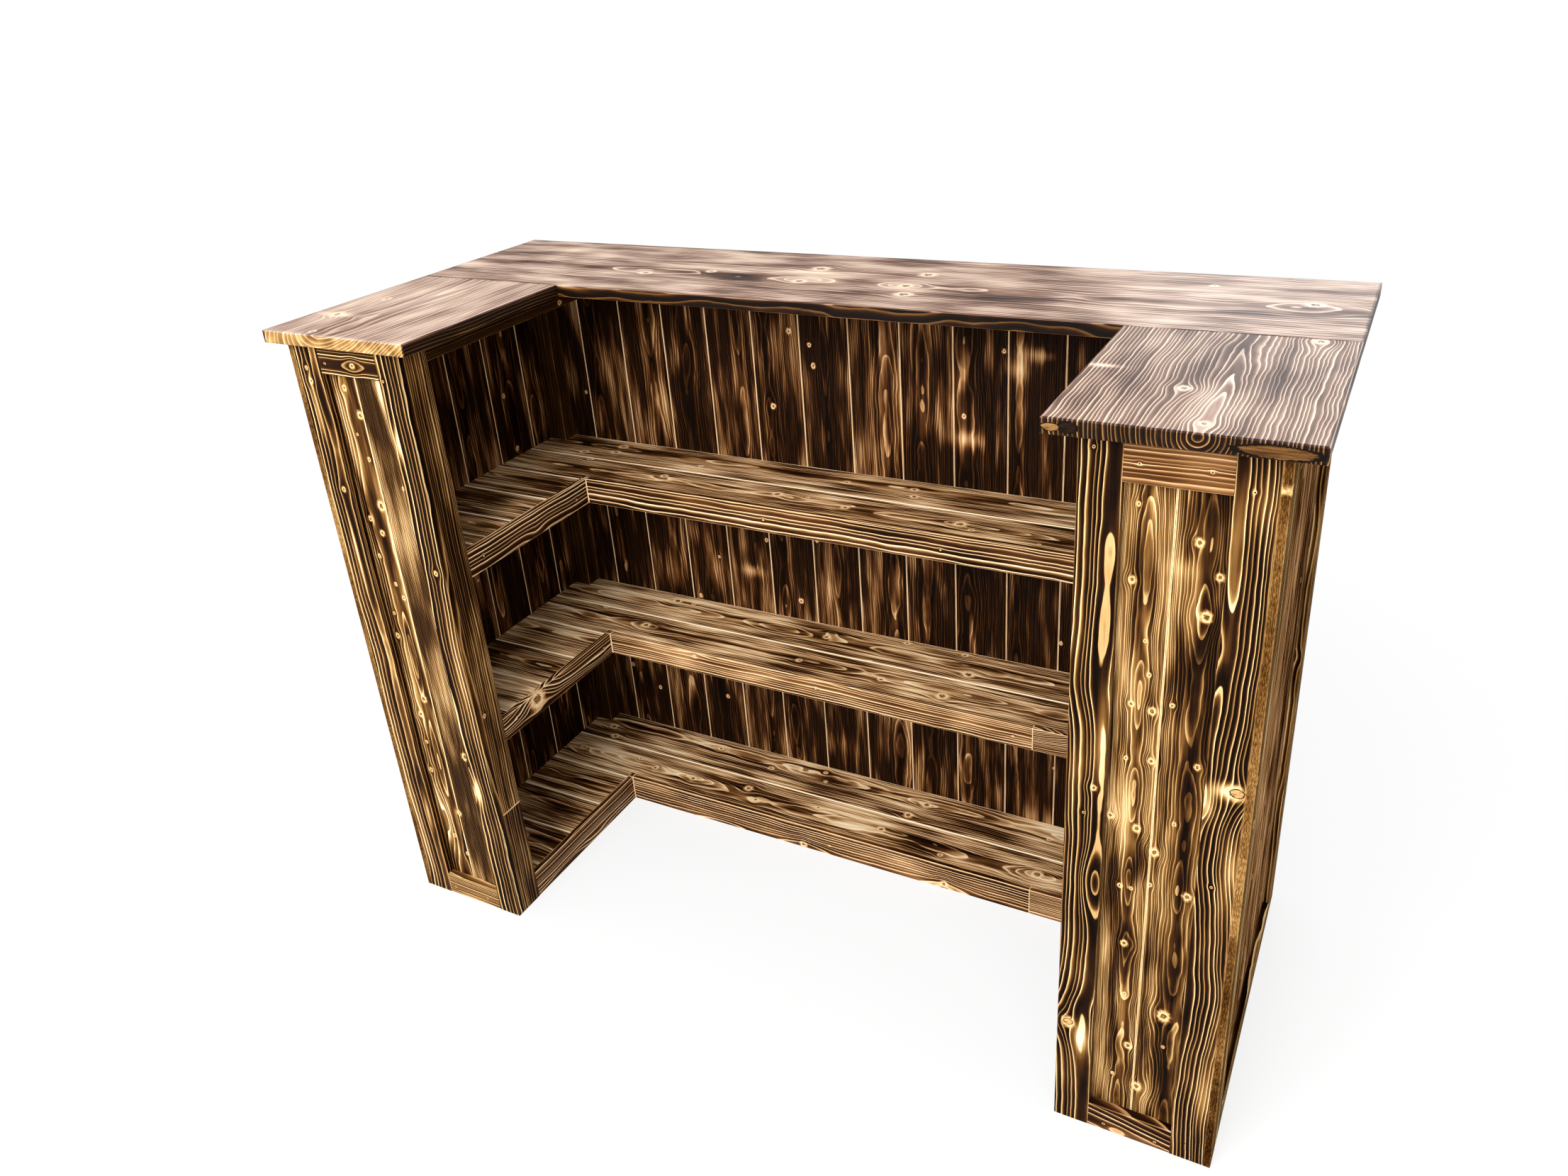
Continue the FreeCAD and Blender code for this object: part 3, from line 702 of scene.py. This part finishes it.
# Posts and bearers: sawn pine battens, nailed together in the corners, under the counter and under
# the shelves, where they carry the boards. The torch has left them an even dark brown.
batten_look = dict(ring_gap=3.2, char=0.90, patch=0.10, line=0.35, knot_chance=0.15, edge=0.3)
posts = sorted(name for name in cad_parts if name.endswith("_post"))
heart_left_of_post, heart_above_bearer = 12, 10
for number, post in enumerate(posts):
    low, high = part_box(post)
    scorched_pine(post, z_axis, x_axis, 121 + number, batten_look,
                  heart=(low.x * mm_per_metre - heart_left_of_post, 20))
bearers = sorted(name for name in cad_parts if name.endswith(("_bearer", "_bearers")))
for number, bearer in enumerate(bearers):
    low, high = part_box(bearer)
    grain = x_axis if high.x - low.x > high.y - low.y else y_axis
    scorched_pine(bearer, grain, z_axis, 131 + number, batten_look,
                  heart=(high.z * mm_per_metre + heart_above_bearer, 14))


# Pins: steel panel pins that hold the trims, hammered home before the bar was burnt. Only their
# flat round heads show, just proud of the wood and darkened by the torch.
pin_radius = 0.0011
pin_rise = pin_radius * 0.25
pin_sides = 12
burnt_steel, worn_steel = ink(22, 14, 10), ink(70, 52, 40)
pin_steel = bpy.data.materials.new("burnt_pin_steel")
pin_steel.use_nodes = True
pin_steel.node_tree.nodes.clear()
pin_start = Shade(pin_steel.node_tree)
speckle = pin_start.node("TexNoise", {"Scale": 900.0, "Detail": 2.0})
pin_colour = pin_start.node("ValToRGB", {0: speckle}, stops=((0.3, burnt_steel), (0.7, worn_steel)))
pin_skin = pin_start.node("BsdfPrincipled", {"Base Color": pin_colour, "Roughness": speckle * 0.3 + 0.35,
                                             "Metallic": 0.6})
pin_start.node("OutputMaterial", {"Surface": pin_skin})


def pin_heads(name, spots, outward):
    """Flat round heads just off the given places, facing outward."""
    shape = bmesh.new()
    turn = Vector((0, 0, 1)).rotation_difference(outward).to_matrix().to_4x4()
    for spot in spots:
        bmesh.ops.create_circle(shape, cap_ends=True, radius=pin_radius, segments=pin_sides,
                                matrix=Matrix.Translation(spot + outward * pin_rise) @ turn)
    mesh = bpy.data.meshes.new(name)
    shape.to_mesh(mesh)
    shape.free()
    mesh.materials.append(pin_steel)
    heads = bpy.data.objects.new(name, mesh)
    bpy.context.collection.objects.link(heads)
    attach(heads, "root")


end_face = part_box("right_end_inner_stile")[0].y
end_pins = (
    (547, 999), (620, 999), (552, 11), (622, 11), (499, 1012), (505, 537), (662, 983), (660, 474),
    (661, 30), (-633, 1002), (-560, 1000), (-632, 15), (-557, 14), (-522, 985), (-678, 525), (-500, 50))
end_spots = [Vector((x / mm_per_metre, end_face, z / mm_per_metre)) for x, z in end_pins]
pin_heads("end_frame_pins", end_spots, Vector((0, -1, 0)))

pin_margin, pin_spacing = 0.022, 0.25
side_trims = ("near_stile", "far_stile", "top_rail", "bottom_rail")
customer_trims = ("left_stile", "right_stile", "top_rail", "bottom_rail")
for frame_side, trims, outward in (("left_side", side_trims, Vector((-1, 0, 0))),
                                   ("right_side", side_trims, Vector((1, 0, 0))),
                                   ("customer", customer_trims, Vector((0, 1, 0)))):
    spots = []
    for trim in trims:
        low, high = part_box(frame_side + "_" + trim)
        size = high - low
        long_axis = max(range(3), key=lambda axis: size[axis])
        first, last = low[long_axis] + pin_margin, high[long_axis] - pin_margin
        steps = max(1, round((last - first) / pin_spacing))
        for step in range(steps + 1):
            spot = (low + high) / 2 + size * outward / 2
            spot[long_axis] = first + (last - first) * step / steps
            spots.append(spot)
    pin_heads(frame_side + "_frame_pins", spots, outward)


# Studio floor: one large pale sheet. It shows white to the camera but keeps the bar's faint shadow
# near the bar.
floor_mesh = bpy.data.meshes.new("studio_floor")
shape = bmesh.new()
bmesh.ops.create_grid(shape, x_segments=1, y_segments=1, size=60)
shape.to_mesh(floor_mesh)
shape.free()
floor = bpy.data.objects.new("studio_floor", floor_mesh)
bpy.context.collection.objects.link(floor)
floor_material = bpy.data.materials.new("studio_floor")
floor_material.use_nodes = True
floor_material.node_tree.nodes.clear()
floor_start = Shade(floor_material.node_tree)
matt = floor_start.node("BsdfDiffuse", {"Color": grey(0.8)})
white = floor_start.node("Emission", {"Color": grey(1), "Strength": 1.0})
seen = floor_start.node("LightPath", output="Is Camera Ray")
seen = seen.maths("MAXIMUM", floor_start.node("LightPath", output="Is Glossy Ray"))
from_bar = floor_start.node("TexCoord", output="Object").vector("LENGTH", output=1)
white_near_bar = 0.75
white_share = from_bar.between(1.0, 3.0) * (1 - white_near_bar) + white_near_bar
blend = floor_start.node("MixShader", {0: seen * white_share, 1: matt, 2: white})
floor_start.node("OutputMaterial", {"Surface": blend})
floor.data.materials.append(floor_material)


# Studio light: a plain world, white to the camera and a little dimmer as the light on the bar, and
# four large soft lamps, the strongest of them in front of the serving side.
sky_light = 0.75
world = bpy.data.worlds.new("studio")
bpy.context.scene.world = world
world.use_nodes = True
world.node_tree.nodes.clear()
sky = Shade(world.node_tree)
seen = sky.node("LightPath", output="Is Camera Ray")
backdrop = sky.node("Background", {"Color": grey(1), "Strength": seen * (1 - sky_light) + sky_light})
sky.node("OutputWorld", {"Surface": backdrop})


def soft_lamp(name, place, aim, size, power):
    data = bpy.data.lights.new(name, "AREA")
    data.shape = "SQUARE"
    data.size = size
    data.energy = power
    lamp = bpy.data.objects.new(name, data)
    lamp.location = place
    lamp.rotation_euler = (Vector(aim) - Vector(place)).to_track_quat("-Z", "Y").to_euler()
    bpy.context.collection.objects.link(lamp)


soft_lamp("key_lamp", (1.6, -3.2, 3.2), (0, 0, 0.6), 2.5, 50)
soft_lamp("front_lamp", (-0.15, -2.9, 2.5), (0, 0.1, 0.5), 1.8, 125)
soft_lamp("fill_lamp", (-3.0, -2.4, 2.4), (0, 0, 0.5), 2.5, 25)
soft_lamp("rear_lamp", (0.8, 3.6, 1.8), (0, 0, 0.5), 2.5, 70)

bpy.context.scene.view_settings.view_transform = "Standard"
